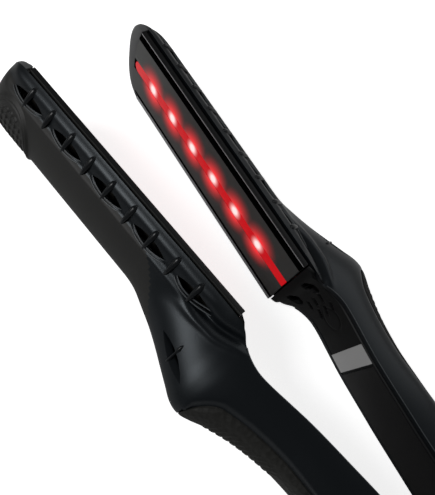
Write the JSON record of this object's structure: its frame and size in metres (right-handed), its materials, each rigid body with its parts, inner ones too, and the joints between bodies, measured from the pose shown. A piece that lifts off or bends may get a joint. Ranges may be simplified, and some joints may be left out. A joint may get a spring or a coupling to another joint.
{
  "type": "hair straightener",
  "caption": "Hinged two-arm hair straightener with floating heated plates, a red light strip, soft grips, buttons and a swivelling cord inlet.",
  "frame": {"origin": "on the hinge axis, in the plane of the hinge cap's face and the barrels' sides on which the iron lies", "axes": "+X from the hinge to the tips, +Z along the hinge axis, +Y towards the arm with the controls"},
  "size_m": [0.3098, 0.0882, 0.0374],
  "materials": {
    "shell_moulding": "satin moulded",
    "cover_moulding": "satin moulded",
    "hinge_moulding": "satin moulded",
    "grip_rubber": "soft touch, textured",
    "plate_coating": "ceramic coated, satin",
    "carrier_moulding": "heat resistant moulding",
    "chassis_steel": "pressed sheet",
    "spring_steel": "drawn wire",
    "screw_steel": "blackened",
    "wire_insulation": "smooth",
    "heater_ceramic": "fired, unglazed",
    "fuse_metal": "drawn",
    "thermistor_bead": "glossy bead",
    "circuit_board": "solder resist",
    "display_lens": "polished",
    "button_plastic": "satin moulded",
    "bush_bronze": "sintered",
    "red_window": "polished, tinted red",
    "silver_label": "foil faced, bare",
    "black_label": "matt film, bare",
    "gland_rubber": "moulded"
  },
  "bodies": {
    "lower_arm": {"lower_shell": "shell_moulding", "lower_inner_cover": "cover_moulding", "lower_nose_bezel": "cover_moulding", "lower_grip_insert": "grip_rubber", "lower_chassis": "chassis_steel", "lower_cover_screws": "screw_steel", "lower_wire_harness": "wire_insulation", "serial_label": "silver_label", "rating_label": "black_label", "hinge_yoke": "hinge_moulding", "hinge_pin": "spring_steel", "hinge_caps": "cover_moulding"},
    "upper_arm": {"upper_shell": "shell_moulding", "upper_inner_cover": "cover_moulding", "upper_nose_bezel": "cover_moulding", "upper_grip_insert": "grip_rubber", "upper_chassis": "chassis_steel", "upper_cover_screws": "screw_steel", "upper_wire_harness": "wire_insulation", "control_board": "circuit_board", "display_window": "display_lens", "hinge_knuckle": "hinge_moulding", "hinge_bush": "bush_bronze", "torsion_spring": "spring_steel"},
    "upper_plate": {"upper_heated_plate": "plate_coating", "upper_plate_carrier": "carrier_moulding", "upper_heater": "heater_ceramic", "thermal_fuse": "fuse_metal", "upper_plate_springs": "spring_steel"},
    "lower_plate": {"lower_heated_plate": "plate_coating", "lower_plate_carrier": "carrier_moulding", "lower_heater": "heater_ceramic", "thermistor": "thermistor_bead", "light_window": "red_window", "light_board": "circuit_board", "lower_plate_springs": "spring_steel"},
    "power_button": {"power_button": "button_plastic"},
    "minus_button": {"minus_button": "button_plastic"},
    "plus_button": {"plus_button": "button_plastic"},
    "cord_swivel": {"swivel_gland": "gland_rubber", "swivel_clip": "spring_steel"}
  },
  "joints": [
    {"name": "arm_hinge", "type": "hinge", "parent": "lower_arm", "child": "upper_arm", "pos_m": [0, 0, 0.0187], "axis": [0, 0, -1], "range_deg": [0, 9.1], "stiffness_Nm_per_rad": 1.5, "springref_deg": -14.32},
    {"name": "upper_plate_float", "type": "slide", "parent": "upper_arm", "child": "upper_plate", "axis": [-0.0793, 0.9968, 0], "range_m": [0, 0.001], "stiffness_N_per_m": 1500, "springref_m": -0.003},
    {"name": "lower_plate_float", "type": "slide", "parent": "lower_arm", "child": "lower_plate", "axis": [-0.0793, -0.9968, 0], "range_m": [0, 0.001], "stiffness_N_per_m": 1500, "springref_m": -0.003},
    {"name": "power_button_press", "type": "slide", "parent": "upper_arm", "child": "power_button", "axis": [-0.0793, 0.9968, 0], "range_m": [0, 0.0005], "stiffness_N_per_m": 500, "springref_m": -0.001},
    {"name": "minus_button_press", "type": "slide", "parent": "upper_arm", "child": "minus_button", "axis": [-0.0793, 0.9968, 0], "range_m": [0, 0.0005], "stiffness_N_per_m": 500, "springref_m": -0.001},
    {"name": "plus_button_press", "type": "slide", "parent": "upper_arm", "child": "plus_button", "axis": [-0.0793, 0.9968, 0], "range_m": [0, 0.0005], "stiffness_N_per_m": 500, "springref_m": -0.001},
    {"name": "cord_swivel_turn", "type": "hinge", "parent": "lower_arm", "child": "cord_swivel", "pos_m": [-0.02, 0, 0.0187], "axis": [-1, 0, 0], "continuous": true}
  ]
}
